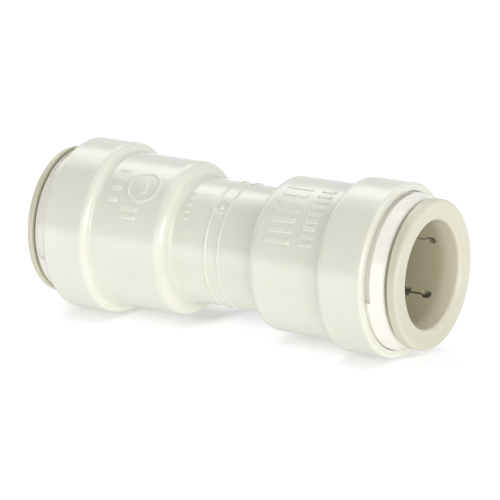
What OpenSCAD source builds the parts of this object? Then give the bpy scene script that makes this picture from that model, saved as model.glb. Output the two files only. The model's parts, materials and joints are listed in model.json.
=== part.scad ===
// Push fit coupling for two tubes of 5/8 inch outside diameter.
// Millimetres. The tube axis lies along X, +Z is up, and the origin is the middle of the part.
// "clock" angles run round the X axis: 0 faces -Y, 90 faces +Z, 180 faces +Y.

/* [Tube] */
// Outside diameter of the tube
tube_d = 15.875; // [15:0.005:17]
// Radial room between the tube and its pocket in the body
pocket_room = 0.0625; // [0.05:0.0025:0.1]
// Radial room between the tube and the collet
collet_room = 0.2125; // [0.2:0.0025:0.3]

/* [Body] */
// Radius of the waist
waist_r = 9.48; // [9.3:0.01:9.8]
// Radius of the seal section
seal_r = 11.78; // [11.6:0.01:12]
// Radius of the end section
rim_r = 13.18; // [13:0.01:13.6]
// Where the shoulder from waist to seal section starts, at the right and left end
shoulder_1_x = [6.3, 7.2]; // [5.8:0.05:7.3]
// Where the shoulder from seal section to end section starts, at the right and left end
shoulder_2_x = [19.4, 20.4]; // [19:0.05:20.5]
// Radius of the hollow at the foot of each of the two shoulders
shoulder_hollow = [0.65, 0.3]; // [0.2:0.05:0.9]
// Where the body ends, at the right and left end
rim_x = [27.62, 28.5]; // [27.5:0.02:28.6]
// Rounding of the rim's outer edge, at the right and left end
rim_round = [0.55, 0.75]; // [0.3:0.05:0.8]
// Radius of the waterway through the tube stop
waterway_r = 6.2; // [5:0.1:7]
// Half the thickness of the tube stop
stop_half = 1; // [0.8:0.1:1.5]
// Floor of the seal chamber
chamber_x = 9; // [8.8:0.05:9.2]
// Radius of the seal chamber
chamber_r = 10.4; // [10.4:0.01:10.5]
// Floor of the cap's seat
cap_seat_x = 21.4; // [21.2:0.05:21.6]
// Radius of the cap's seat
cap_seat_r = 11.9; // [11.86:0.01:12]
// Chamfer that leads the tube into its pocket
pocket_chamfer = 0.3; // [0.2:0.05:0.4]
// Chamfer at the mouth of the cap's seat
seat_chamfer = 0.12; // [0.05:0.01:0.2]

/* [Body details] */
// Positions of the two fine ridges round the waist
ridge_x = [0.71, -1.58]; // [-3:0.01:3]
// Radius of each ridge's section
ridge_size = 0.17; // [0.08:0.01:0.2]
// Position of the moulding gate's stub on the waist
gate_x = -0.62; // [-1.2:0.02:0.4]
// Clock angle of the moulding gate's stub
gate_clock = 50; // [40:1:60]
// Radius and height of the moulding gate's stub
gate_stub_size = [0.42, 0.22]; // [0.1:0.01:0.6]
// Floor radius, rim radius and depth of the dimple round the stub
gate_dimple_size = [0.8, 0.92, 0.12]; // [0.1:0.01:1.2]
// Height of the raised marks
mark_height = 0.16; // [0.1:0.01:0.25]
// Position, first clock angle, angle between bars, number of bars, length and width of each row of bars
bar_row_1 = [-18, 36, 9, 4, 1.9, 0.55]; // [-20:0.05:60]
// The same for the second row
bar_row_2 = [-14.6, 24.5, 6, 2, 3, 0.55]; // [-20:0.05:60]
// The same for the third row
bar_row_3 = [11.9, 24, 8, 7, 4.2, 0.7]; // [0.5:0.05:60]
// The same for the fourth row
bar_row_4 = [16.7, 24, 6, 9, 2.3, 0.55]; // [0.5:0.05:60]
// The same for the row on the waist
bar_row_5 = [-6.2, 33, 7, 5, 1, 0.4]; // [-6.6:0.05:60]
// Outside radius of the ring mark
ring_mark_r = 2.75; // [2.4:0.05:3]
// Width of the ring mark's line
ring_mark_width = 0.32; // [0.25:0.01:0.5]
// Radius of the drop in the ring mark, and how far its tip is from its centre
drop_size = [0.85, 1.85]; // [0.5:0.05:2]
// Position of the ring mark
ring_mark_x = -13.4; // [-14:0.1:-13]
// Clock angle of the ring mark
ring_mark_clock = 49.6; // [40:0.1:60]

/* [End cap] */
// Outside radius of the cap
cap_r = 11.82; // [11.7:0.01:11.85]
// Inner end of the cap
cap_in_x = 21.45; // [21.45:0.05:21.8]
// Where the cap's nose starts to taper, at the right and left end
nose_x = [28.1, 28.95]; // [27.8:0.05:29.2]
// Outer face of the cap, at the right and left end
cap_out_x = [30.3, 31.15]; // [30.2:0.05:31.2]
// Radius of the nose at the outer face
nose_r = 11; // [10.8:0.05:11.2]
// Rounding of the nose's edge
nose_round = 0.3; // [0.1:0.05:0.5]
// Radius of the hole the collet slides in
cap_bore_r = 9.55; // [9.5:0.01:9.6]
// Where the inner cone meets the hole
cone_x = 26.5; // [26.4:0.05:26.6]
// Radius of the inner cone at the cap's inner end
cone_r = 10.78; // [10.76:0.01:10.85]
// Chamfer at the outer end of that hole
cap_bore_chamfer = 0.3; // [0.1:0.05:0.4]
// Angle each recess in the nose spans
recess_angle = 108.5; // [90:0.5:120]
// Clock angle where the first recess starts, at the right and left end
recess_clock = [-11.5, -19.5]; // [-25:0.5:0]
// Floor radius of the recesses, at the right and left end
recess_r = [11.3, 10.95]; // [10.9:0.05:11.5]
// Start and end of the recesses at the right end
recess_x = [27.2, 28.3]; // [27:0.05:29]
// Start and end of the recesses at the left end
left_recess_x = [28.1, 30.65]; // [28:0.05:30.8]

/* [Collet] */
// Front face of the collet's flange
collet_out_x = 32.55; // [32.4:0.05:33]
// Back face of the collet's flange, at the right and left end
flange_x = [30.95, 31.45]; // [30.95:0.05:31.6]
// Radius of the flange
flange_r = 11.3; // [11:0.05:11.5]
// Rounding of the flange's front edge
flange_round = 0.55; // [0.3:0.05:0.7]
// Rounding of the mouth
mouth_round = 0.8; // [0.3:0.05:0.9]
// Radius of the collet's barrel
barrel_r = 9.35; // [9.3:0.01:9.4]
// Radius of the barb at the fingers' tips
barb_r = 10.25; // [10.1:0.01:10.25]
// Where the barb starts, peaks and ends
barb_x = [20.6, 21.9, 23.9]; // [20:0.1:24]
// Inner end of the fingers
collet_in_x = 19.7; // [19.6:0.05:20]
// Chamfer inside the fingers' tips
finger_chamfer = 0.3; // [0.1:0.05:0.4]
// Number of fingers
fingers = 6; // [6:1:6]
// Clock angle of the first slit
slit_clock = 38.5; // [0:0.5:60]
// Width of the slits between the fingers
slit_width = 1.3; // [1:0.1:1.6]
// Width of the narrow part of each slit
neck_width = 0.35; // [0.3:0.05:0.7]
// Start of the narrow part and outer end of the keyhole
neck_x = [24.8, 28.4]; // [24:0.05:29]
// Length and width of the keyhole at the end of each slit
keyhole_size = [1.7, 1.15]; // [1:0.05:1.8]

/* [Teeth] */
// Radius that the tooth tips touch
tip_r = 7.93; // [7.93:0.005:7.95]
// Position of the tips along the axis
tip_x = 20.9; // [20.8:0.05:21]
// Radial reach of each tooth into its finger
tooth_reach = 1.77; // [1.6:0.01:1.8]
// How far each tooth leans towards the mouth
tooth_lean = 0.8; // [0.6:0.05:1]
// Thickness of the teeth
tooth_thick = 0.35; // [0.3:0.01:0.4]
// Length of the ground edge at the tip
tooth_edge = 0.5; // [0.3:0.05:0.6]
// Angle each tooth spans
tooth_angle = 34; // [30:0.5:38]
// Room round each tooth in its slot
tooth_room = 0.02; // [0.02:0.005:0.03]
// Extra angle of each slot, shared between its two ends
tooth_end_room = 0.6; // [0.4:0.1:1]

/* [Seals] */
// Section diameter of the O-ring
o_ring_section = 2.62; // [2.6:0.01:2.62]
// Inside diameter of the O-ring
o_ring_d = 15.54; // [15.5:0.01:15.54]
// Position of the O-ring
o_ring_x = 10.36; // [10.36:0.01:10.5]
// Inner end of the spacer ring
spacer_in_x = 11.85; // [11.8:0.05:12]
// Outer end of the spacer ring
spacer_out_x = 18.9; // [18:0.1:19]
// Inside and outside radius of the spacer ring
spacer_r = [8.35, 10.3]; // [8.35:0.01:10.35]
// Length of the spacer ring's wider part, and the height of the step after it
spacer_step = [3.4, 0.4]; // [0.2:0.05:4]
// Chamfers of the spacer ring's edges: outside, inside at its inner end, and inside at its outer end
spacer_chamfer = [0.2, 0.3, 0.6]; // [0.1:0.05:0.7]

/* [Hidden] */
$fn = 128;
pocket_r = tube_d / 2 + pocket_room;
bore_r = tube_d / 2 + collet_room;
finger_pitch = 360 / fingers;
tooth_length = sqrt(tooth_reach * tooth_reach + tooth_lean * tooth_lean);
o_ring_centre_r = o_ring_d / 2 + o_ring_section / 2;
body_colour = [0.88, 0.87, 0.8];
cap_colour = [0.91, 0.9, 0.84];
collet_colour = [0.84, 0.83, 0.76];
steel_colour = [0.7, 0.71, 0.72];
seal_colour = [0.08, 0.08, 0.08];
spacer_colour = [0.85, 0.85, 0.82];
// How far cutting shapes run past what they cut
over = 1;
// How far below the surface the marks start
mark_root = 0.4;
// Slope of the inner cone, radius over length
cone_slope = (cone_r - cap_bore_r) / (cone_x - cap_in_x);

// Turns a shape made round Z so that Z becomes +X and its own X faces -Y.
module along_x() {
  rotate([0, 90, 0])
    rotate([0, 0, -90])
      children();
}

// Turns a shape made at its own X axis to a clock angle.
module at_clock(angle) {
  rotate([0, 0, -angle])
    children();
}

// Makes the left end's copy of a right end's shape.
module left_end() {
  mirror([1, 0, 0])
    children();
}

// A plain rectangle from one radius and position to another, in a section with the radius along X.
module block(r_from, r_to, x_from, x_to) {
  translate([r_from, x_from])
    square([r_to - r_from, x_to - x_from]);
}

// Section of a shoulder from one radius up to another: a hollow quarter round, then a full one.
module shoulder(r_from, r_to, hollow, x) {
  full = r_to - r_from - hollow;
  difference() {
    block(r_from - hollow, r_from + hollow, x, x + hollow);
    translate([r_from + hollow, x])
      circle(hollow);
  }
  block(0, r_from + hollow, x + hollow, x + hollow + full);
  translate([r_from + hollow, x + hollow + full])
    circle(full);
  block(0, r_to, x + hollow + full, x + hollow + 2 * full);
}

// Section of one half of the body's outside: 0 is the right half and 1 the left one.
module body_outside(half) {
  x_1 = shoulder_1_x[half];
  x_2 = shoulder_2_x[half];
  edge = rim_round[half];
  block(0, waist_r, 0, rim_x[half]);
  shoulder(waist_r, seal_r, shoulder_hollow[0], x_1);
  block(0, seal_r, x_1 + seal_r - waist_r, rim_x[half]);
  shoulder(seal_r, rim_r, shoulder_hollow[1], x_2);
  block(0, rim_r, x_2 + rim_r - seal_r, rim_x[half] - edge);
  block(0, rim_r - edge, rim_x[half] - edge, rim_x[half]);
  translate([rim_r - edge, rim_x[half] - edge])
    circle(edge);
}

// Section of the chamfered mouth of a hole that ends at x.
module mouth(r, x, chamfer) {
  polygon([[0, x - chamfer], [r, x - chamfer], [r + chamfer, x], [0, x]]);
}

// Section of the hollow inside one half of the body.
module body_inside(half) {
  block(0, waterway_r, 0, stop_half);
  block(0, pocket_r, stop_half, chamber_x);
  mouth(pocket_r, chamber_x, pocket_chamfer);
  block(0, chamber_r, chamber_x, cap_seat_x);
  block(0, cap_seat_r, cap_seat_x, rim_x[half]);
  mouth(cap_seat_r, rim_x[half], seat_chamfer);
}

// Section of the whole body.
module body_section() {
  difference() {
    union() {
      body_outside(0);
      mirror([0, 1])
        body_outside(1);
      for (x = ridge_x) {
        translate([waist_r, x])
          circle(ridge_size, $fn = 32);
      }
    }
    body_inside(0);
    mirror([0, 1])
      body_inside(1);
  }
}

// Stands a flat shape on a round surface, at a position and clock angle. Its Y runs round the part.
module on_surface(x, clock, r) {
  at_clock(clock)
    translate([r - mark_root, 0, x])
      rotate([0, 90, 0])
        linear_extrude(mark_root + over)
          children();
}

// A flat bar with round ends, along X.
module bar(length, width) {
  square([length - width, width], center = true);
  translate([(length - width) / 2, 0])
    circle(width / 2, $fn = 32);
  translate([(width - length) / 2, 0])
    circle(width / 2, $fn = 32);
}

// A plain drop of water with its tip towards -Y. Its straight sides touch its circle.
module drop() {
  touch = asin(drop_size[0] / drop_size[1]);
  side = [drop_size[0] * cos(touch), -drop_size[0] * sin(touch)];
  circle(drop_size[0], $fn = 48);
  polygon([[-side[0], side[1]], [0, -drop_size[1]], side]);
}

// A row of bars round the part, on a surface of radius r.
module bar_row(row, r) {
  for (i = [0 : row[3] - 1]) {
    on_surface(row[0], row[1] + row[2] * i, r)
      bar(row[4], row[5]);
  }
}

// The seal sections' marks before they are trimmed to their height.
module mark_prisms() {
  on_surface(ring_mark_x, ring_mark_clock, seal_r) {
    difference() {
      circle(ring_mark_r);
      circle(ring_mark_r - ring_mark_width);
    }
  }
  on_surface(ring_mark_x, ring_mark_clock - 2, seal_r)
    drop();
  bar_row(bar_row_1, seal_r);
  bar_row(bar_row_2, seal_r);
  bar_row(bar_row_3, seal_r);
  bar_row(bar_row_4, seal_r);
}

// Raised marks on the seal sections and the waist.
module marks() {
  intersection() {
    cylinder(r = seal_r + mark_height, h = 2 * rim_x[0], center = true);
    mark_prisms();
  }
  intersection() {
    cylinder(r = waist_r + mark_height, h = 2 * shoulder_1_x[1], center = true);
    bar_row(bar_row_5, waist_r);
  }
}

// Stub left by the moulding gate, in a shallow dimple.
module gate_stub() {
  at_clock(gate_clock)
    translate([waist_r - over, 0, gate_x])
      rotate([0, 90, 0])
        cylinder(r = gate_stub_size[0], h = gate_stub_size[1] + over, $fn = 32);
}

// Dimple round the moulding gate.
module gate_dimple() {
  flare = (gate_dimple_size[1] - gate_dimple_size[0]) / gate_dimple_size[2];
  at_clock(gate_clock)
    translate([waist_r - gate_dimple_size[2], 0, gate_x])
      rotate([0, 90, 0])
        cylinder(r1 = gate_dimple_size[0], r2 = gate_dimple_size[0] + flare * over, h = over, $fn = 48);
}

// Body with a tube pocket, a seal chamber and a cap seat at each end.
module body() {
  color(body_colour)
    along_x() {
      difference() {
        rotate_extrude()
          body_section();
        gate_dimple();
      }
      gate_stub();
      marks();
    }
}

// Section of an end cap that tapers from taper_x to its outer face at out_x.
module cap_section(taper_x, out_x) {
  difference() {
    union() {
      block(cap_bore_r, cap_r, cap_in_x, taper_x);
      polygon([
        [cap_bore_r, taper_x],
        [cap_r, taper_x],
        [nose_r + nose_round / 3, out_x - nose_round],
        [nose_r - nose_round * 2 / 3, out_x],
        [cap_bore_r, out_x]
      ]);
    }
    polygon([
      [cap_bore_r - over, cap_in_x - over],
      [cone_r + cone_slope * over, cap_in_x - over],
      [cap_bore_r, cone_x],
      [cap_bore_r - over, cone_x]
    ]);
    polygon([
      [cap_bore_r - over, out_x - cap_bore_chamfer],
      [cap_bore_r, out_x - cap_bore_chamfer],
      [cap_bore_r + cap_bore_chamfer + over, out_x + over],
      [cap_bore_r - over, out_x + over]
    ]);
  }
}

// End cap that holds the collet, with two recesses round its nose. End 0 is the right one, 1 the left one.
module end_cap(end, recess) {
  along_x() {
    difference() {
      rotate_extrude()
        cap_section(nose_x[end], cap_out_x[end]);
      for (i = [0, 1]) {
        at_clock(recess_clock[end] + recess_angle + 180 * i)
          rotate_extrude(angle = recess_angle)
            block(recess_r[end], cap_r + over, recess[0], recess[1]);
      }
    }
  }
}

module right_end_cap() {
  color(cap_colour)
    end_cap(0, recess_x);
}

module left_end_cap() {
  color(cap_colour)
    left_end()
      end_cap(1, left_recess_x);
}

// Section of a collet before it is slit. The back of its flange is at back_x.
module collet_section(back_x) {
  difference() {
    union() {
      polygon([
        [bore_r + finger_chamfer, collet_in_x],
        [barrel_r + finger_chamfer / 2, collet_in_x],
        [barb_r, barb_x[0]],
        [barb_r, barb_x[1]],
        [barrel_r, barb_x[2]],
        [barrel_r, back_x],
        [bore_r, back_x],
        [bore_r, collet_in_x + finger_chamfer]
      ]);
      block(bore_r, flange_r, back_x, collet_out_x - flange_round);
      block(bore_r, flange_r - flange_round, back_x, collet_out_x);
      translate([flange_r - flange_round, collet_out_x - flange_round])
        circle(flange_round);
    }
    difference() {
      block(bore_r - over, bore_r + mouth_round, collet_out_x - mouth_round, collet_out_x + over);
      translate([bore_r + mouth_round, collet_out_x - mouth_round])
        circle(mouth_round);
    }
  }
}

// One slit: wide between the finger tips, narrow further out, with a long keyhole at its end.
module slit() {
  depth = barrel_r - bore_r + 4 * over;
  translate([bore_r - 2 * over, -slit_width / 2, collet_in_x - over])
    cube([depth, slit_width, neck_x[0] - collet_in_x + over]);
  translate([bore_r - 2 * over, -neck_width / 2, neck_x[0] - over])
    cube([depth, neck_width, neck_x[1] - keyhole_size[1] / 2 - neck_x[0] + over]);
  translate([bore_r - 2 * over, 0, neck_x[1] - keyhole_size[0] / 2])
    rotate([0, 90, 0])
      linear_extrude(depth)
        bar(keyhole_size[0], keyhole_size[1]);
}

// Section of a tooth, or of its slot when room is added round it.
module tooth_section(room) {
  u = [tooth_reach / tooth_length, tooth_lean / tooth_length];
  half = tooth_thick / 2 + room;
  tip_room = 3 * room;
  root = [tip_r, tip_x] + u * (tooth_length + room);
  knee = [tip_r, tip_x] + u * (tooth_edge - tip_room);
  polygon([
    [tip_r, tip_x] - u * tip_room,
    knee + [u[1], -u[0]] * half,
    root + [u[1], -u[0]] * half,
    root + [-u[1], u[0]] * half,
    knee + [-u[1], u[0]] * half
  ]);
}

// A tooth's sector, centred on the X axis.
module tooth_sector(room, angle) {
  rotate([0, 0, -angle / 2])
    rotate_extrude(angle = angle)
      tooth_section(room);
}

// Collet with a flange to press and six sprung fingers.
module collet(back_x) {
  along_x() {
    difference() {
      rotate_extrude()
        collet_section(back_x);
      for (i = [0 : fingers - 1]) {
        at_clock(slit_clock + finger_pitch * i)
          slit();
        at_clock(slit_clock + finger_pitch * (i + 0.5))
          tooth_sector(tooth_room, tooth_angle + tooth_end_room);
      }
    }
  }
}

module right_collet() {
  color(collet_colour)
    collet(flange_x[0]);
}

module left_collet() {
  color(collet_colour)
    left_end()
      collet(flange_x[1]);
}

// Tooth in one of the fingers, counted from 1.
module tooth(number) {
  along_x()
    at_clock(slit_clock + finger_pitch * (number - 0.5))
      tooth_sector(0, tooth_angle);
}

module right_tooth(number) {
  color(steel_colour)
    tooth(number);
}

module left_tooth(number) {
  color(steel_colour)
    left_end()
      tooth(number);
}

// Spacer ring that holds the O-ring in its chamber.
module spacer() {
  along_x()
    rotate_extrude()
      polygon([
        [spacer_r[0] + spacer_chamfer[1], spacer_in_x],
        [spacer_r[1] - spacer_chamfer[0], spacer_in_x],
        [spacer_r[1], spacer_in_x + spacer_chamfer[0]],
        [spacer_r[1], spacer_in_x + spacer_step[0]],
        [spacer_r[1] - spacer_step[1], spacer_in_x + spacer_step[0] + spacer_step[1]],
        [spacer_r[1] - spacer_step[1], spacer_out_x],
        [spacer_r[0] + spacer_chamfer[2], spacer_out_x],
        [spacer_r[0], spacer_out_x - spacer_chamfer[2]],
        [spacer_r[0], spacer_in_x + spacer_chamfer[1]]
      ]);
}

module right_spacer() {
  color(spacer_colour)
    spacer();
}

module left_spacer() {
  color(spacer_colour)
    left_end()
      spacer();
}

// O-ring that seals on the tube.
module o_ring() {
  along_x()
    rotate_extrude()
      translate([o_ring_centre_r, o_ring_x])
        circle(o_ring_section / 2, $fn = 64);
}

module right_o_ring() {
  color(seal_colour)
    o_ring();
}

module left_o_ring() {
  color(seal_colour)
    left_end()
      o_ring();
}

body();
right_end_cap();
right_collet();
right_spacer();
right_o_ring();
right_tooth(1);  // right_tooth_1
right_tooth(2);  // right_tooth_2
right_tooth(3);  // right_tooth_3
right_tooth(4);  // right_tooth_4
right_tooth(5);  // right_tooth_5
right_tooth(6);  // right_tooth_6
left_end_cap();
left_collet();
left_spacer();
left_o_ring();
left_tooth(1);  // left_tooth_1
left_tooth(2);  // left_tooth_2
left_tooth(3);  // left_tooth_3
left_tooth(4);  // left_tooth_4
left_tooth(5);  // left_tooth_5
left_tooth(6);  // left_tooth_6
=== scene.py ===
"""Push fit coupling: the looks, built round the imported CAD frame.

The frame is in metres, with the tube axis along X and +Z up. Outlines are half sections: lists of
(x, r, rounding) corners in millimetres. Clock angles run round the X axis in degrees: 0 faces -Y,
90 faces +Z, 180 faces +Y.
"""

import json
import math
from dataclasses import dataclass

import bmesh
import bpy
import numpy as np
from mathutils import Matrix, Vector


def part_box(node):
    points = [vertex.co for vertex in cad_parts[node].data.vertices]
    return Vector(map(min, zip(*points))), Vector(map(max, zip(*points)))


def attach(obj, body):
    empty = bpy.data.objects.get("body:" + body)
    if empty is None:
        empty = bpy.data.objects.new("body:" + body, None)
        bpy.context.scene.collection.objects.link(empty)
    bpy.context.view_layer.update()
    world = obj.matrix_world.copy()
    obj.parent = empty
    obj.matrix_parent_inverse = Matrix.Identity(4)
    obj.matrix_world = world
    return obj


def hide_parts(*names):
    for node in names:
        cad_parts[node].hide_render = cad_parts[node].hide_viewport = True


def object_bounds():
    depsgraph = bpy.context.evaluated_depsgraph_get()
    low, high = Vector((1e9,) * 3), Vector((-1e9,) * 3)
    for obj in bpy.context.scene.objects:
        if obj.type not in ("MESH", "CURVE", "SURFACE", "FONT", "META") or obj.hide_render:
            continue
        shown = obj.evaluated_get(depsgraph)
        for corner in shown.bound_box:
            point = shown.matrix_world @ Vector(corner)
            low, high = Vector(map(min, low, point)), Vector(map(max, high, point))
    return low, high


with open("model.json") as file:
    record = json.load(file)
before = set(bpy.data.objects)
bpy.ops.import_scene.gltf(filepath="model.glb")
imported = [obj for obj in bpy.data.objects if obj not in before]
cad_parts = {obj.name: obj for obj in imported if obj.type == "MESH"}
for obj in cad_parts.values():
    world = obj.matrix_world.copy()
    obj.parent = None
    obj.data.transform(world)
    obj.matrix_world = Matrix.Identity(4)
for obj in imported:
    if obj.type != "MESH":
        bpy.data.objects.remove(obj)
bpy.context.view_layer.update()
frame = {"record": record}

MM = 0.001


# ---------------------------------------------------------------- sizes, in millimetres


def size(node):
    """(inner x, outer x, outer radius) of a CAD node, measured from the middle of the part."""
    low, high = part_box(node)
    near, far = sorted((abs(low.x), abs(high.x)))
    return near / MM, far / MM, high.z / MM


def mount(name):
    """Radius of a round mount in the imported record."""
    found = next(m for m in frame["record"]["mounts"] if m["name"] == name)
    return found["dims"]["r_mm"]


# from the CAD frame
RIM_R = size("body")[2]
CAP_IN_X, _, CAP_R = size("right_end_cap")
COLLET_IN_X, FLANGE_OUT_X, FLANGE_R = size("right_collet")
SPACER_IN_X, SPACER_OUT_X, SPACER_R = size("right_spacer")
O_RING_IN_X, O_RING_OUT_X, O_RING_R = size("right_o_ring")
POCKET_R = mount("right_tube_socket")
BORE_R = mount("right_collet_bore")

# the body
WAIST_R = 9.48
SEAL_R = 11.78
WATERWAY_R = 6.2
STOP_HALF = 1.0
# the hollow at the foot of each shoulder, from waist to seal section and from there to the rim
HOLLOW_1, HOLLOW_2 = 0.65, 0.3
CHAMBER_X = 9.0
CHAMBER_R = 10.4
CAP_SEAT_X = 21.4
CAP_SEAT_R = 11.9

# the ridges and the moulding gate on the waist: a round dish with a nub in it
RIDGE_XS = (0.71, -1.58)
RIDGE_HEIGHT = 0.17
RIDGE_HALF = 0.27
GATE_X, GATE_CLOCK = -0.62, 50.0
DISH_R, DISH_DEPTH, DISH_SOFT = 1.05, 0.12, 0.25
NUB_R, NUB_HEIGHT, NUB_SOFT = 0.42, 0.32, 0.12

# the raised marks
MARK_HEIGHT = 0.16
MARK_SOFT = 0.09
# position, first clock angle, angle between bars, number of bars, length and width of each row
SEAL_BARS = (
    (-18.0, 36, 9, 4, 1.9, 0.55),
    (-14.6, 24.5, 6, 2, 3.0, 0.55),
    (11.9, 24, 8, 7, 4.2, 0.7),
    (16.7, 24, 6, 9, 2.3, 0.55),
)
WAIST_BARS = ((-6.2, 33, 7, 5, 1.0, 0.4),)
RING_MARK_R, RING_MARK_WIDTH = 2.75, 0.32
RING_MARK_X, RING_MARK_CLOCK = -13.4, 49.6
# the drop in the ring mark: radii of its two ends, the distance between them, and the clock angle
# of its big end
DROP_BIG, DROP_SMALL, DROP_LENGTH = 0.85, 0.06, 1.8
DROP_CLOCK = RING_MARK_CLOCK - 2
# start, end and step of the places where the body's mesh is finer, along it and round it
FINE_XS = ((-19.2, -10.3, 0.1), (9.4, 18.2, 0.1), (-6.85, -5.55, 0.07), (-2.4, 1.2, 0.05))
FINE_CLOCKS = ((16.0, 82.0, 0.45),)
# degrees between the columns of most meshes, and of the end caps'
COLUMN_STEP, CAP_COLUMN_STEP = 2.0, 1.5

# the end caps
NOSE_R = 11.0
NOSE_ROUND = 1.2
CAP_BORE_R = 9.55
CONE_X = 26.5
CONE_R = 10.78
RECESS_ANGLE = 108.5
RECESS_SOFT = 0.05
# how far the cap's mesh is finer to each side of a recess's walls, along it and in degrees
NEAR_WALL, NEAR_WALL_CLOCK = 0.2, 1.0

# the collets: barbs, slits with a keyhole at their ends, and the mouth
BARREL_R = 9.35
TAIL_R, TAIL_CHAMFER = 9.5, 0.3
BARB_R = 10.25
BARB_X = (20.6, 21.9, 23.9)
FINGERS = 6
SLIT_CLOCK = 38.5
SLIT_HALF = 0.65
NECK_HALF = 0.175
NECK_X = (24.8, 28.4)
KEYHOLE_LONG, KEYHOLE_WIDE = 1.7, 1.15
MOUTH_ROUND = 0.8

# the teeth
TIP_X, TIP_R = 20.9, 7.93
TIP_GROUND = 0.5
TOOTH_REACH, TOOTH_LEAN = 1.77, 0.8
TOOTH_THICK = 0.35
TOOTH_ROUND = 0.06
TOOTH_ANGLE = 34.0

# the spacers: the hole, the chamfers at its two ends, and the step outside
SPACER_HOLE_R = BORE_R + 0.2
SPACER_IN_CHAMFER, SPACER_OUT_CHAMFER = 0.3, 0.6
SPACER_RIM_LONG, SPACER_STEP = 3.4, 0.4


@dataclass(frozen=True)
class End:
    """What differs between the two ends. Positions are distances from the middle of the part."""

    side: str
    sign: int
    shoulders: tuple  # where each of the body's shoulders starts
    rim_x: float  # where the body ends
    rim_round: float
    nose_x: float  # where the cap's nose starts to taper
    recess: tuple  # start, end, floor radius and first clock angle of the cap's recesses
    flange_x: float  # back of the collet's flange


RIGHT = End(
    side="right",
    sign=1,
    shoulders=(6.3, 19.4),
    rim_x=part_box("body")[1].x / MM,
    rim_round=0.55,
    nose_x=28.1,
    recess=(27.2, 28.3, 11.3, -11.5),
    flange_x=30.95,
)
LEFT = End(
    side="left",
    sign=-1,
    shoulders=(7.2, 20.4),
    rim_x=-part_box("body")[0].x / MM,
    rim_round=0.75,
    nose_x=28.95,
    recess=(28.1, 30.65, 10.95, -19.5),
    flange_x=31.45,
)


# ---------------------------------------------------------------- outlines


def arc(here, before, after, radius, step=9.0):
    """Points of the rounding of one corner of an outline, at most step degrees apart."""
    a = (before - here).normalized()
    b = (after - here).normalized()
    corner = a.angle(b)
    reach = radius / math.tan(corner / 2)
    centre = here + (a + b).normalized() * (radius / math.sin(corner / 2))
    start = here + a * reach - centre
    turn = start.angle_signed(here + b * reach - centre)
    count = max(3, math.ceil(abs(math.degrees(turn)) / step))
    points = []
    for i in range(count + 1):
        angle = -turn * i / count
        c, s = math.cos(angle), math.sin(angle)
        points.append(centre + Vector((start.x * c - start.y * s, start.x * s + start.y * c)))
    return points


def rounded(corners, closed=True):
    """The points of an outline. The ends of an open one aren't rounded."""
    places = [Vector(c[:2]) for c in corners]
    points = []
    for i, (_, _, radius) in enumerate(corners):
        is_end = not closed and i in (0, len(corners) - 1)
        if radius == 0 or is_end:
            points.append(places[i])
        else:
            after = places[(i + 1) % len(places)]
            points.extend(arc(places[i], places[i - 1], after, radius))
    return points


def held(points, hold=0.12, closed=True):
    """The outline with a point near each end of its long straight stretches.

    The points there let flat faces shade flat.
    """
    result = []
    for i, here in enumerate(points):
        result.append(here)
        if i == len(points) - 1 and not closed:
            break
        step = points[(i + 1) % len(points)] - here
        if step.length > 3 * hold:
            result.append(here + step.normalized() * hold)
            result.append(here + step - step.normalized() * hold)
    return result


def finer(points, above_r, spans):
    """The outline with points added on the stretches that lie outside a radius.

    spans are the start, end and step of the x positions that are added.
    """
    result = []
    for here, after in zip(points, points[1:] + points[:1]):
        result.append(here)
        if min(here.y, after.y) < above_r or abs(here.x - after.x) < 1e-6:
            continue
        low, high = sorted((here.x, after.x))
        added = [x for start, end, step in spans for x in np.arange(start, end, step)]
        inside = [x for x in added if low < x < high]
        for x in sorted(inside, reverse=after.x < here.x):
            result.append(here.lerp(after, (x - here.x) / (after.x - here.x)))
    return result


def clocks(step, spans=()):
    """Column angles round the part: even steps, and finer ones inside the spans.

    spans are the start, end and step of each finer stretch.
    """
    even = [
        angle
        for angle in np.arange(0, 360, step)
        if not any((angle - start) % 360 <= (end - start) for start, end, _ in spans)
    ]
    fine = [
        angle % 360
        for start, end, fine_step in spans
        for angle in np.linspace(start, end, round((end - start) / fine_step) + 1)
    ]
    return np.array(sorted(set(np.round(even + fine, 5))))


# ---------------------------------------------------------------- meshes


def link(name, data):
    """A new object in the scene."""
    obj = bpy.data.objects.new(name, data)
    bpy.context.scene.collection.objects.link(obj)
    return obj


def piece(name, node, body, verts, faces, material, sharp=38.0):
    """A shown piece that stands for a CAD node. Edges of more than sharp degrees stay sharp."""
    mesh = bpy.data.meshes.new(name)
    mesh.from_pydata(verts, [], faces)
    edit = bmesh.new()
    edit.from_mesh(mesh)
    bmesh.ops.remove_doubles(edit, verts=edit.verts, dist=1e-7)
    bmesh.ops.recalc_face_normals(edit, faces=edit.faces)
    edit.to_mesh(mesh)
    edit.free()
    obj = link(name, mesh)
    mesh.shade_smooth()
    mesh.set_sharp_from_angle(angle=math.radians(sharp))
    mesh.materials.append(material)
    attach(obj, body)
    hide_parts(node)


def place(x, r, clock, sign):
    """Vertex positions in metres."""
    angle = np.radians(clock)
    return np.stack([sign * x * MM, -r * np.cos(angle) * MM, r * np.sin(angle) * MM], -1)


def grid_faces(columns, rows, wrap_columns=True):
    """Quads of a grid of closed columns whose vertex number is column * rows + row."""
    faces = []
    for i in range(columns if wrap_columns else columns - 1):
        for j in range(rows):
            i2, j2 = (i + 1) % columns, (j + 1) % rows
            faces.append((i * rows + j, i * rows + j2, i2 * rows + j2, i2 * rows + j))
    return faces


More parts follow.
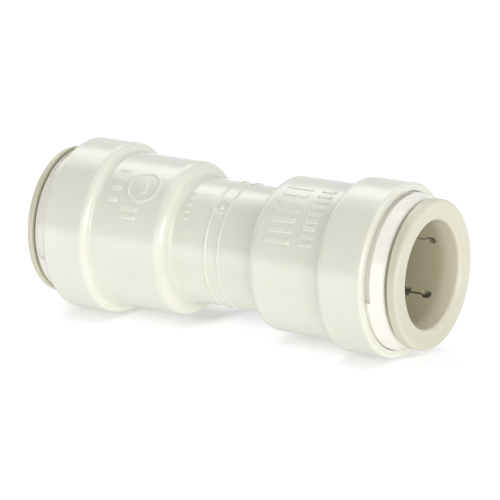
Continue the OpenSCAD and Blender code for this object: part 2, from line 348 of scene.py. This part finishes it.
def sweep(x, r, clock, sign, shape=None):
    """Vertices of a section repeated round the X axis. clock has a row of angles for each copy.

    shape(x, r, clock) gives the radii, where they differ from the section's.
    """
    x, r = (np.tile(values, (len(clock), 1)) for values in (x, r))
    if shape:
        r = shape(x, r, clock)
    return place(x, r, clock, sign).reshape(-1, 3).tolist()


def lathe(points, columns, sign=1, shape=None):
    """Vertices and faces of a closed outline turned round the X axis."""
    clock = np.tile(columns[:, None], (1, len(points)))
    verts = sweep([p.x for p in points], [p.y for p in points], clock, sign, shape)
    return verts, grid_faces(len(columns), len(points))


# ---------------------------------------------------------------- the body


def bar(s, t, length, width):
    """Signed distance to a flat bar with round ends, along the axis."""
    return np.hypot(np.maximum(np.abs(s) - (length - width) / 2, 0), t) - width / 2


def ring(s, t, radius, width):
    """Signed distance to a flat ring."""
    return np.abs(np.hypot(s, t) - radius + width / 2) - width / 2


def drop(s, t):
    """Signed distance to a drop of water: two circles with straight sides between them."""
    s = np.abs(s)
    b = (DROP_BIG - DROP_SMALL) / DROP_LENGTH
    a = math.sqrt(1 - b * b)
    along = a * t - b * s
    sides = a * s + b * t - DROP_BIG
    near_big = np.hypot(s, t) - DROP_BIG
    near_small = np.hypot(s, t - DROP_LENGTH) - DROP_SMALL
    past_sides = np.where(along > a * DROP_LENGTH, near_small, sides)
    return np.where(along < 0, near_big, past_sides)


def local(x, clock, x0, clock0, r):
    """Distances along and round a surface of radius r, from the point at x0 and clock0."""
    return x - x0, np.radians((clock - clock0 + 180) % 360 - 180) * r


def bars_distance(x, clock, rows, r):
    """Distance from each point of a surface of radius r to the nearest bar."""
    nearest = np.full(x.shape, np.inf)
    for x0, first, pitch, count, length, width in rows:
        for i in range(count):
            from_bar = local(x, clock, x0, first + pitch * i, r)
            nearest = np.minimum(nearest, bar(*from_bar, length, width))
    return nearest


def mark_distance(x, clock):
    """Distance from each point of the seal sections to the nearest raised mark."""
    from_ring = local(x, clock, RING_MARK_X, RING_MARK_CLOCK, SEAL_R)
    from_drop = local(x, clock, RING_MARK_X, DROP_CLOCK, SEAL_R)
    marks = (
        ring(*from_ring, RING_MARK_R, RING_MARK_WIDTH),
        bars_distance(x, clock, SEAL_BARS, SEAL_R),
        drop(*from_drop),
    )
    return np.minimum.reduce(marks)


def soft_step(distance, soft):
    """1 well inside a shape, 0 well outside it, and smooth across its edge."""
    t = np.clip(0.5 - distance / (2 * soft), 0, 1)
    return t * t * (3 - 2 * t)


def is_on(r, surface_r, tolerance=0.01):
    """Which radii are those of a surface."""
    return np.abs(r - surface_r) < tolerance


def body_shape(x, r, clock):
    """Radii of the body with its marks, ridges and moulding gate."""
    on_seal, on_waist = is_on(r, SEAL_R), is_on(r, WAIST_R)
    seal_raised = MARK_HEIGHT * soft_step(mark_distance(x, clock), MARK_SOFT)
    waist_raised = MARK_HEIGHT * soft_step(bars_distance(x, clock, WAIST_BARS, WAIST_R), MARK_SOFT)
    for ridge_x in RIDGE_XS:
        t = np.clip(np.abs(x - ridge_x) / RIDGE_HALF, 0, 1)
        waist_raised += RIDGE_HEIGHT * (1 - t * t) ** 2
    from_gate = np.hypot(*local(x, clock, GATE_X, GATE_CLOCK, WAIST_R))
    dish = soft_step(from_gate - DISH_R, DISH_SOFT)
    nub = soft_step(from_gate - NUB_R, NUB_SOFT)
    waist_raised = waist_raised * (1 - dish) - DISH_DEPTH * dish + NUB_HEIGHT * nub
    return r + np.where(on_seal, seal_raised, 0) + np.where(on_waist, waist_raised, 0)


def half_outline(end):
    """Corners of the body's section from the waist out to the rim and back in to the tube stop."""
    face_1 = end.shoulders[0] + HOLLOW_1
    face_2 = end.shoulders[1] + HOLLOW_2
    return [
        (face_1, WAIST_R, HOLLOW_1),
        (face_1, SEAL_R, SEAL_R - WAIST_R - HOLLOW_1),
        (face_2, SEAL_R, HOLLOW_2),
        (face_2, RIM_R, RIM_R - SEAL_R - HOLLOW_2),
        (end.rim_x, RIM_R, end.rim_round),
        (end.rim_x, CAP_SEAT_R, 0.12),
        (CAP_SEAT_X, CAP_SEAT_R, 0.2),
        (CAP_SEAT_X, CHAMBER_R, 0.1),
        (CHAMBER_X, CHAMBER_R, 0.3),
        (CHAMBER_X, POCKET_R, 0.3),
        (STOP_HALF, POCKET_R, 0.25),
        (STOP_HALF, WATERWAY_R, 0.25),
    ]


def make_body(material):
    mirrored = [(-x, r, radius) for x, r, radius in reversed(half_outline(LEFT))]
    points = held(rounded(half_outline(RIGHT) + mirrored))
    points = finer(points, WAIST_R - 0.1, FINE_XS)
    verts, faces = lathe(points, clocks(COLUMN_STEP, FINE_CLOCKS), shape=body_shape)
    piece("body_moulding", "body", "housing", verts, faces, material)


# ---------------------------------------------------------------- the end caps


def make_end_cap(end, material):
    start, stop, floor_r, first = end.recess
    out_x = size(f"{end.side}_end_cap")[1]
    corners = [
        (CAP_IN_X, CONE_R, 0.08),
        (CAP_IN_X, CAP_R, 0.25),
        (end.nose_x, CAP_R, NOSE_ROUND),
        (out_x, NOSE_R, 0.35),
        (out_x, CAP_BORE_R, 0.3),
        (CONE_X, CAP_BORE_R, 0.5),
    ]
    fine_xs = [(x - NEAR_WALL, x + NEAR_WALL, 0.025) for x in (start, stop)]
    fine_xs += [(start + NEAR_WALL, stop - NEAR_WALL, 0.2), (stop + NEAR_WALL, out_x, 0.2)]
    points = finer(held(rounded(corners)), floor_r - 0.4, fine_xs)
    walls = [first + 180 * i + RECESS_ANGLE * j for i in (0, 1) for j in (0, 1)]
    near_walls = [(wall - NEAR_WALL_CLOCK, wall + NEAR_WALL_CLOCK, 0.1) for wall in walls]
    columns = clocks(CAP_COLUMN_STEP, near_walls)

    def recessed(x, r, clock):
        """Radii of the cap with its two recesses."""
        from_middle = np.abs((clock - first - RECESS_ANGLE / 2 + 90) % 180 - 90)
        sideways = np.radians(from_middle - RECESS_ANGLE / 2) * CAP_R
        lengthways = np.maximum(start - x, x - stop)
        depth = soft_step(sideways, RECESS_SOFT) * soft_step(lengthways, RECESS_SOFT)
        return np.where(r > floor_r, r - (r - floor_r) * depth, r)

    verts, faces = lathe(points, columns, end.sign, recessed)
    name, node = f"{end.side}_cap_moulding", f"{end.side}_end_cap"
    piece(name, node, "housing", verts, faces, material)


# ---------------------------------------------------------------- the collets


def slit_half(x):
    """Half the width of a slit at each position along the axis."""
    middle = NECK_X[1] - KEYHOLE_LONG / 2
    past = np.maximum(np.abs(x - middle) - (KEYHOLE_LONG - KEYHOLE_WIDE) / 2, 0)
    keyhole = np.sqrt(np.maximum((KEYHOLE_WIDE / 2) ** 2 - past**2, 0))
    neck = np.where(x < middle, NECK_HALF, 0)
    return np.where(x <= NECK_X[0], SLIT_HALF, np.maximum(neck, keyhole))


def slit_positions(paths):
    """Positions along the slits where the section needs points: corners, keyhole and even steps."""
    slit_end = NECK_X[1]
    turns = np.linspace(0, math.pi / 2, 9)
    xs = [p.x for path in paths for p in path]
    xs += [slit_end - KEYHOLE_WIDE / 2 * (1 - math.cos(a)) for a in turns]
    xs += [slit_end - KEYHOLE_LONG + KEYHOLE_WIDE / 2 * (1 - math.cos(a)) for a in turns]
    xs += [NECK_X[0] - 0.002, NECK_X[0] + 0.002]
    xs += list(np.arange(COLLET_IN_X + 0.5, slit_end, 0.5))
    return np.array(sorted(set(np.round(xs, 4))))


def collet_section(end):
    """x, r and whether it is in the slits, for each point of a finger's section.

    The first and last points are those along the outside and inside of the slits.
    """
    slit_end = NECK_X[1]
    outer_path = rounded(
        [
            (COLLET_IN_X, TAIL_R, 0),
            (BARB_X[0], BARB_R, 0.2),
            (BARB_X[1], BARB_R, 0.12),
            (BARB_X[2], BARREL_R, 0.4),
            (slit_end, BARREL_R, 0),
        ],
        closed=False,
    )
    inner_path = rounded(
        [
            (COLLET_IN_X, BORE_R + TAIL_CHAMFER, 0),
            (COLLET_IN_X + TAIL_CHAMFER, BORE_R, 0.2),
            (slit_end, BORE_R, 0),
        ],
        closed=False,
    )
    front = rounded(
        [
            (slit_end, BARREL_R, 0),
            (end.flange_x, BARREL_R, 0.15),
            (end.flange_x, FLANGE_R, 0.12),
            (FLANGE_OUT_X, FLANGE_R, 0.55),
            (FLANGE_OUT_X, BORE_R, MOUTH_ROUND),
            (slit_end, BORE_R, 0),
        ],
        closed=False,
    )
    front = held(front, closed=False)[1:-1]
    xs = slit_positions((outer_path, inner_path))
    outer, inner = (
        np.interp(xs, [p.x for p in path], [p.y for p in path]) for path in (outer_path, inner_path)
    )
    x = np.concatenate([xs, [p.x for p in front], xs[::-1]])
    r = np.concatenate([outer, [p.y for p in front], inner[::-1]])
    in_slit = np.concatenate([np.ones(len(xs)), np.zeros(len(front)), np.ones(len(xs))])
    return x, r, in_slit


def make_collet(end, material, columns=33):
    x, r, in_slit = collet_section(end)
    rows, slit_rows = len(x), int(in_slit.sum()) // 2
    gap = np.degrees(np.arcsin(slit_half(x) * in_slit / r))
    across = np.linspace(0, 1, columns)[:, None]
    pitch = 360 / FINGERS
    verts, faces = [], []
    for finger in range(FINGERS):
        clock = SLIT_CLOCK + pitch * finger + gap + (pitch - 2 * gap) * across
        start = len(verts)
        verts += sweep(x, r, clock, end.sign)
        quads = grid_faces(columns, rows, wrap_columns=False)
        faces += [tuple(v + start for v in quad) for quad in quads]
        for column in (0, columns - 1):
            first = start + column * rows
            last = first + rows - 1
            for i in range(slit_rows - 1):
                faces.append((first + i, first + i + 1, last - i - 1, last - i))
    name, body = f"{end.side}_collet_moulding", f"{end.side}_gripper"
    node, slot = f"{end.side}_collet", "collet_plastic"
    piece(name, node, body, verts, faces, material, sharp=30.0)


# ---------------------------------------------------------------- teeth, spacer rings and O-rings


def tooth_points():
    """Outline of a tooth: a blade that leans towards the mouth, with a ground tip."""
    along = Vector((TOOTH_LEAN, TOOTH_REACH)).normalized()
    across = Vector((along.y, -along.x)) * TOOTH_THICK / 2
    tip = Vector((TIP_X, TIP_R))
    knee = tip + along * TIP_GROUND
    root = tip + along * math.hypot(TOOTH_REACH, TOOTH_LEAN)
    corners = [tip, knee + across, root + across, root - across, knee - across]
    return rounded([(*corner, 0.0 if corner is tip else TOOTH_ROUND) for corner in corners])


def make_teeth(end, material, columns=17):
    points = tooth_points()
    rows = len(points)
    x, r = [p.x for p in points], [p.y for p in points]
    faces = grid_faces(columns, rows, wrap_columns=False)
    faces += [tuple(range(rows)), tuple(range((columns - 1) * rows, columns * rows))]
    for number in range(1, FINGERS + 1):
        middle = SLIT_CLOCK + 360 / FINGERS * (number - 0.5)
        clock = middle + TOOTH_ANGLE * (np.linspace(0, 1, columns) - 0.5)
        verts = sweep(x, r, np.tile(clock[:, None], (1, rows)), end.sign)
        name, body = f"{end.side}_tooth_blade_{number}", f"{end.side}_gripper"
        node = f"{end.side}_tooth_{number}"
        piece(name, node, body, verts, faces, material)


def make_spacer(end, material):
    rim_end = SPACER_IN_X + SPACER_RIM_LONG
    step_r = SPACER_R - SPACER_STEP
    corners = [
        (SPACER_IN_X, SPACER_HOLE_R + SPACER_IN_CHAMFER, 0.1),
        (SPACER_IN_X, SPACER_R, 0.2),
        (rim_end, SPACER_R, 0.15),
        (rim_end + SPACER_STEP, step_r, 0.15),
        (SPACER_OUT_X, step_r, 0.15),
        (SPACER_OUT_X, SPACER_HOLE_R + SPACER_OUT_CHAMFER, 0.15),
        (SPACER_OUT_X - SPACER_OUT_CHAMFER, SPACER_HOLE_R, 0.2),
        (SPACER_IN_X + SPACER_IN_CHAMFER, SPACER_HOLE_R, 0.1),
    ]
    verts, faces = lathe(held(rounded(corners)), clocks(COLUMN_STEP), end.sign)
    name, body = f"{end.side}_spacer_moulding", f"{end.side}_spacer_ring"
    piece(name, f"{end.side}_spacer", body, verts, faces, material)


def make_o_ring(end, material):
    half = (O_RING_OUT_X - O_RING_IN_X) / 2
    middle = Vector((O_RING_IN_X + half, O_RING_R - half))
    turns = np.radians(np.arange(0, 360, 7.5))
    points = [middle + Vector((math.cos(a), math.sin(a))) * half for a in turns]
    verts, faces = lathe(points, clocks(COLUMN_STEP), end.sign)
    name, node = f"{end.side}_o_ring_seal", f"{end.side}_o_ring"
    piece(name, node, "housing", verts, faces, material)


# ---------------------------------------------------------------- materials


class Nodes:
    """Short calls for building the nodes of a material or world."""

    def __init__(self, owner):
        self.owner = owner
        owner.use_nodes = True
        self.tree = owner.node_tree
        kind = "Background" if isinstance(owner, bpy.types.World) else "Principled BSDF"
        self.shader = self.tree.nodes[kind]
        coordinates = self.add("ShaderNodeTexCoord")
        self.place = coordinates.outputs["Object"]
        self.direction = coordinates.outputs["Generated"]

    def add(self, kind, *numbered, operation=None, **inputs):
        """A new node. Inputs are given by name, or as numbered pairs of index and value."""
        node = self.tree.nodes.new(kind)
        if operation:
            node.operation = operation
        for index, value in zip(numbered[::2], numbered[1::2]):
            self.put(node, index, value)
        for name, value in inputs.items():
            self.put(node, name.replace("_", " "), value)
        return node

    def put(self, node, name, value):
        """Sets an input, to a value or to what another node gives."""
        if isinstance(value, bpy.types.NodeSocket):
            self.tree.links.new(value, node.inputs[name])
        else:
            node.inputs[name].default_value = value

    def finish(self, **inputs):
        """Sets the shader's own inputs."""
        for name, value in inputs.items():
            self.put(self.shader, name.replace("_", " "), value)

    def noise(self, scale, detail, roughness=0.5, place=None):
        """Cloudy noise, mostly from 0.3 to 0.7. The scale is in clouds per metre."""
        node = self.add(
            "ShaderNodeTexNoise",
            Vector=place or self.place,
            Scale=scale,
            Detail=detail,
            Roughness=roughness,
        )
        return node.outputs["Fac"]

    def between(self, value, low, high, from_low=0.3, from_high=0.7, curve="LINEAR"):
        """The value, mapped from one range to another and held inside it."""
        node = self.add("ShaderNodeMapRange", Value=value, From_Min=from_low, From_Max=from_high)
        node.interpolation_type = curve
        self.put(node, "To Min", low)
        self.put(node, "To Max", high)
        return node.outputs["Result"]

    def math(self, operation, *values):
        numbered = [part for pair in enumerate(values) for part in pair]
        return self.add("ShaderNodeMath", *numbered, operation=operation).outputs[0]

    def axes(self, vector):
        """The X, Y and Z of a vector."""
        return self.add("ShaderNodeSeparateXYZ", Vector=vector).outputs

    def blend(self, factor, one, other):
        """A number between two others."""
        return self.add("ShaderNodeMix", 0, factor, 2, one, 3, other).outputs[0]

    def mix(self, factor, one, other):
        """A colour between two others. Each is a red, green and blue or another node's colour."""
        node = self.add("ShaderNodeMix", 0, factor)
        node.data_type = "RGBA"
        for index, colour in ((6, one), (7, other)):
            is_plain = isinstance(colour, tuple)
            self.put(node, index, (*colour, 1) if is_plain else colour)
        return node.outputs[2]

    def bump(self, height, distance, strength, normal=None):
        """The surface's direction with bumps on it. The distance is their height in metres."""
        node = self.add("ShaderNodeBump", Height=height, Distance=distance, Strength=strength)
        if normal is not None:
            self.put(node, "Normal", normal)
        return node.outputs["Normal"]


# how far outside a hole's radius its painted shade and light fade out, in millimetres
HOLE_SHADING_WALL_FADE = (0.1, 0.4)
# how far inside the mouth's rounding the painted deep shade ends and painted mouth tone starts
HOLE_SHADING_DEPTH_FADE = (3.4, 1.2)


def painted_hole_shading(n, base, hole_r, deep_shade, mouth):
    """Base colour outside a hole; painted shade and light in it, deep in and near its mouth."""
    position = n.axes(n.place)
    along = n.math("ABSOLUTE", position["X"])
    squares = (n.math("POWER", position[axis], 2.0) for axis in "YZ")
    from_axis = n.math("SQRT", n.math("ADD", *squares))
    fade_xs = ((FLANGE_OUT_X - MOUTH_ROUND - fade) * MM for fade in HOLE_SHADING_DEPTH_FADE)
    # painted shade and light: one colour deep in the hole, another near its mouth
    depth = n.between(along, 1.0, 0.0, *fade_xs, "SMOOTHSTEP")
    inside = n.between(from_axis, 1.0, 0.0, *((hole_r + fade) * MM for fade in HOLE_SHADING_WALL_FADE))
    return n.mix(inside, base, n.mix(depth, mouth, deep_shade))


# scales in clouds per metre, heights in metres
CLOUD_SCALE, SPECK_SCALE, UNEVEN_SCALE = 90, 1500, 320
SPECK_SHADE = 0.93
WAVE_SCALE, WAVE_HEIGHT = 160, 0.00006
GRAIN_SCALE, GRAIN_HEIGHT = 5200, 0.000006
PLASTIC_IOR = 1.63
SCATTER_WEIGHT, SCATTER_DEPTH = 0.35, 0.0012
SCATTER_COLOUR = (1.0, 0.75, 0.45)


def plastic(name, colour, shade, roughness, hole=None):
    """Satin moulded plastic: uneven in tone, finely grained, softly wavy, a little translucent.

    shade is its darker tone. roughness is a range. hole is the radius of a piece's hole and the
    painted shade and light in it: a colour deep inside and a colour near the mouth.
    """
    n = Nodes(bpy.data.materials.new(name))
    cloud = n.between(n.noise(CLOUD_SCALE, 2.0), 0.0, 1.0, curve="SMOOTHSTEP")
    speck = n.between(n.noise(SPECK_SCALE, 2.0), 0.0, 0.2, 0.55, 0.85, curve="SMOOTHSTEP")
    base = n.mix(cloud, colour, shade)
    base = n.mix(speck, base, tuple(c * SPECK_SHADE for c in shade))
    # painted shade and light in the piece's hole, deep in and near its mouth
    if hole:
        base = painted_hole_shading(n, base, *hole)
    uneven = n.noise(UNEVEN_SCALE, 5.0, 0.6)
    wavy = n.bump(n.noise(WAVE_SCALE, 2.0), WAVE_HEIGHT, 0.5)
    n.finish(
        Base_Color=base,
        Roughness=n.between(uneven, *roughness),
        Normal=n.bump(n.noise(GRAIN_SCALE, 3.0, 0.6), GRAIN_HEIGHT, 0.6, wavy),
        IOR=PLASTIC_IOR,
        Subsurface_Weight=SCATTER_WEIGHT,
        Subsurface_Radius=SCATTER_COLOUR,
        Subsurface_Scale=SCATTER_DEPTH,
    )
    return n.owner


# the grinding lines in the steel lie across the blade, so they are closer along the X axis
LINES_SCALE = (9000, 900, 900)
LINES_HEIGHT = 0.000004


def steel(name):
    """Stamped stainless steel with fine grinding lines."""
    n = Nodes(bpy.data.materials.new(name))
    stretched = n.add("ShaderNodeMapping", Vector=n.place, Scale=LINES_SCALE)
    lines = n.noise(1.0, 4.0, place=stretched.outputs["Vector"])
    n.finish(
        Base_Color=n.mix(lines, (0.5, 0.51, 0.52), (0.66, 0.67, 0.68)),
        Metallic=1.0,
        Roughness=n.between(lines, 0.22, 0.4),
        Normal=n.bump(lines, LINES_HEIGHT, 0.5),
    )
    return n.owner


SMEAR_SCALE, PORE_SCALE, PORE_HEIGHT = 900, 3500, 0.000008


def rubber(name):
    """Black rubber with a thin film of grease."""
    n = Nodes(bpy.data.materials.new(name))
    smear = n.noise(SMEAR_SCALE, 4.0)
    n.finish(
        Base_Color=n.mix(smear, (0.012, 0.012, 0.013), (0.03, 0.03, 0.031)),
        Roughness=n.between(smear, 0.35, 0.6),
        Normal=n.bump(n.noise(PORE_SCALE, 3.0), PORE_HEIGHT, 0.6),
        Coat_Weight=0.3,
        Coat_Roughness=0.25,
    )
    return n.owner


# ---------------------------------------------------------------- the object

# The ranges of roughness stay away from 0.27, where the render shows dark blotches.
SMOOTH, DULL, DULLEST = (0.18, 0.25), (0.32, 0.4), (0.34, 0.42)

# painted shade: the caps' bores are dark where the collets shade them
CAP_BORE_SHADE = (CAP_BORE_R, (0.3, 0.27, 0.2), (0.3, 0.27, 0.2))
# painted shade deep in the collets' bores, and painted light near their mouths
COLLET_BORE_SHADING = (BORE_R, (0.6, 0.565, 0.39), (0.8, 0.76, 0.61))

ivory = plastic("satin_ivory", (0.785, 0.785, 0.69), (0.755, 0.755, 0.66), SMOOTH)
white = plastic("satin_white", (0.9, 0.87, 0.785), (0.87, 0.84, 0.755), SMOOTH, CAP_BORE_SHADE)
cream = plastic("satin_cream", (0.66, 0.64, 0.505), (0.63, 0.61, 0.475), DULLEST, COLLET_BORE_SHADING)
pale = plastic("satin_pale", (0.74, 0.74, 0.69), (0.71, 0.71, 0.66), DULL)
ground_steel = steel("ground_steel")
greased_rubber = rubber("greased_rubber")

make_body(ivory)
for end in (RIGHT, LEFT):
    make_end_cap(end, white)
    make_collet(end, cream)
    make_teeth(end, ground_steel)
    make_spacer(end, pale)
    make_o_ring(end, greased_rubber)


# ---------------------------------------------------------------- stage, light and camera

CAMERA_AZIMUTH, CAMERA_ELEVATION = 31.96, 14.52
CAMERA_DISTANCE = 0.6894
CAMERA_LENS, CAMERA_SENSOR = 329.4, 36
CAMERA_SHIFT = (0.0066, -0.0083)
CAMERA_CLIP = (0.05, 20)

LIGHT_DISTANCE = 1.0
# name: azimuth, elevation, width, height, power
LIGHTS = {
    "strip_back_left": (229, 48, 0.9, 0.3, 2.05),
    "panel_front": (10, 10, 0.7, 0.3, 1.3),
    "panel_front_right": (52, 12, 0.6, 0.35, 1.6),
    "panel_right": (76, 8, 0.5, 0.3, 2.6),
    "panel_top": (0, 85, 0.8, 0.8, 1.25),
}

STUDIO_TINT = (0.97, 0.98, 1.0, 1)
WORLD_SEEN, WORLD_SOFT = 1.0, 0.51
# the world's strength in reflections of what is in front of the part and behind it
WORLD_MIRRORED = (0.0, 1.0)
WORLD_EDGE = (-0.05, 0.05)

FLOOR_HALF = 3.0
# the floor's own colour, for soft light and for the camera
FLOOR_BOUNCE, FLOOR_SEEN = (0.35, 0.35, 0.35), (0.76, 0.76, 0.78)
# its glow in reflections, close to the part and far from it, and where that changes in metres
FLOOR_MIRRORED, MIRRORED_REACH = (0.25, 1.22), (0.012, 0.05)
FLOOR_SOFT = 0.8
# how much brighter the floor's reflected and soft glow is on the left than on the right
LEFT_GLOW, LEFT_REACH = (1.1, 0.96), (-0.06, 0.06)
# camera glow in the painted contact shadow and outside it, and what the far floor adds
FLOOR_GLOW, SHADOW_REACH = (0.1, 0.46), (0.0015, 0.011)
FAR_GLOW, FAR_REACH = (0.0, 0.6), (0.02, 0.3)
# how far behind the axis the shadow's middle lies, for each metre that a section is above the
# floor, and where the shadow steps: around each shoulder, and at the flange
SHADOW_SLANT = 3.3
STEP_1, STEP_2, FLANGE_STEP = (-0.002, 0.003), (0.0, 0.002), (0.027, 0.031)
# how far the shadow is drawn to the left, and how it fades past the part's ends
SHADOW_SHIFT = 0.003
END_FADE, END_REACH = (0.0, 0.05), (0.029, 0.054)


def towards(azimuth, elevation):
    """Unit vector from the object to a place. Azimuth 0 is in front of the object, at -Y."""
    a, e = math.radians(azimuth), math.radians(elevation)
    return Vector((math.sin(a) * math.cos(e), -math.cos(a) * math.cos(e), math.sin(e)))


def aim(obj, azimuth, elevation, distance):
    """Puts a light or camera round the object, pointing at its middle."""
    back = towards(azimuth, elevation)
    obj.location = back * distance
    obj.rotation_euler = back.to_track_quat("Z", "Y").to_euler()


class Rays:
    """Lets a surface or backdrop differ between the camera, reflections and soft light."""

    def __init__(self, n):
        self.n = n
        path = n.add("ShaderNodeLightPath")
        self.camera = path.outputs["Is Camera Ray"]
        self.reflection = path.outputs["Is Glossy Ray"]

    def pick(self, camera, reflection, soft):
        """One value for the camera, one for reflections and one for all other light."""
        strength = self.n.blend(self.reflection, soft, reflection)
        return self.n.blend(self.camera, strength, camera)


def shadow_centre(n, along):
    """How far behind the axis the shadow's middle lies: further under the thinner sections."""
    waist, seal, flange = (SHADOW_SLANT * (RIM_R - r) * MM for r in (WAIST_R, SEAL_R, FLANGE_R))
    x_1, x_2 = (x * MM for x in RIGHT.shoulders)
    inner = n.between(along, waist, seal, *(x_1 + step for step in STEP_1), "SMOOTHSTEP")
    outer = n.between(along, 0.0, seal, *(x_2 + step for step in STEP_2), "SMOOTHSTEP")
    end = n.between(along, 0.0, flange, *FLANGE_STEP, "SMOOTHSTEP")
    return n.math("ADD", n.math("SUBTRACT", inner, outer), end)


def floor_glow(n, x, y):
    """The floor's glow for the camera, with a painted contact shadow in it."""
    from_middle = n.math("SUBTRACT", y, shadow_centre(n, n.math("ABSOLUTE", x)))
    from_shift = n.math("ABSOLUTE", n.math("ADD", x, SHADOW_SHIFT))
    past_end = n.between(from_shift, *END_FADE, *END_REACH)
    away = n.math("ADD", n.math("ABSOLUTE", from_middle), past_end)
    near_glow = n.between(away, *FLOOR_GLOW, *SHADOW_REACH)
    return n.math("ADD", near_glow, n.between(away, *FAR_GLOW, *FAR_REACH))


def floor_material():
    """A pale matt floor that glows, with a glow of its own for each kind of ray."""
    n = Nodes(bpy.data.materials.new("floor"))
    rays = Rays(n)
    x, y, _ = n.axes(n.place)
    leftwards = n.between(x, *LEFT_GLOW, *LEFT_REACH)
    sideways = n.math("ABSOLUTE", y)
    mirrored = n.between(sideways, *FLOOR_MIRRORED, *MIRRORED_REACH, "SMOOTHSTEP")
    mirrored = n.math("MULTIPLY", mirrored, leftwards)
    soft = n.math("MULTIPLY", leftwards, FLOOR_SOFT)
    n.finish(
        Base_Color=n.mix(rays.camera, FLOOR_BOUNCE, FLOOR_SEEN),
        Roughness=1.0,
        Specular_IOR_Level=0.0,
        Emission_Color=STUDIO_TINT,
        Emission_Strength=rays.pick(floor_glow(n, x, y), mirrored, soft),
    )
    n.owner.cycles.emission_sampling = "NONE"
    return n.owner


def make_floor():
    """A floor under the object's lowest point."""
    low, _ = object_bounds()
    quarters = ((-1, -1), (1, -1), (1, 1), (-1, 1))
    corners = [(FLOOR_HALF * i, FLOOR_HALF * j, low.z) for i, j in quarters]
    mesh = bpy.data.meshes.new("floor")
    mesh.from_pydata(corners, [], [(0, 1, 2, 3)])
    mesh.materials.append(floor_material())
    link("floor", mesh)


def make_world():
    """A plain pale studio. Reflections find it dark in front of the part and light behind it."""
    world = bpy.data.worlds.new("studio")
    world.cycles.sampling_method = "NONE"
    n = Nodes(world)
    backwards = n.axes(n.direction)["Y"]
    mirrored = n.between(backwards, *WORLD_MIRRORED, *WORLD_EDGE, "SMOOTHSTEP")
    n.finish(Color=STUDIO_TINT, Strength=Rays(n).pick(WORLD_SEEN, mirrored, WORLD_SOFT))
    bpy.context.scene.world = world


def make_light(name, azimuth, elevation, width, height, power):
    light = bpy.data.lights.new(name, "AREA")
    light.shape = "RECTANGLE"
    light.size, light.size_y = width, height
    light.energy = power
    aim(link(name, light), azimuth, elevation, LIGHT_DISTANCE)


def make_camera():
    data = bpy.data.cameras.new("camera")
    data.lens, data.sensor_width = CAMERA_LENS, CAMERA_SENSOR
    data.shift_x, data.shift_y = CAMERA_SHIFT
    data.clip_start, data.clip_end = CAMERA_CLIP
    camera = link("camera", data)
    aim(camera, CAMERA_AZIMUTH, CAMERA_ELEVATION, CAMERA_DISTANCE)
    bpy.context.scene.camera = camera


make_floor()
make_world()
for name, values in LIGHTS.items():
    make_light(name, *values)
make_camera()
bpy.context.scene.view_settings.view_transform = "Standard"
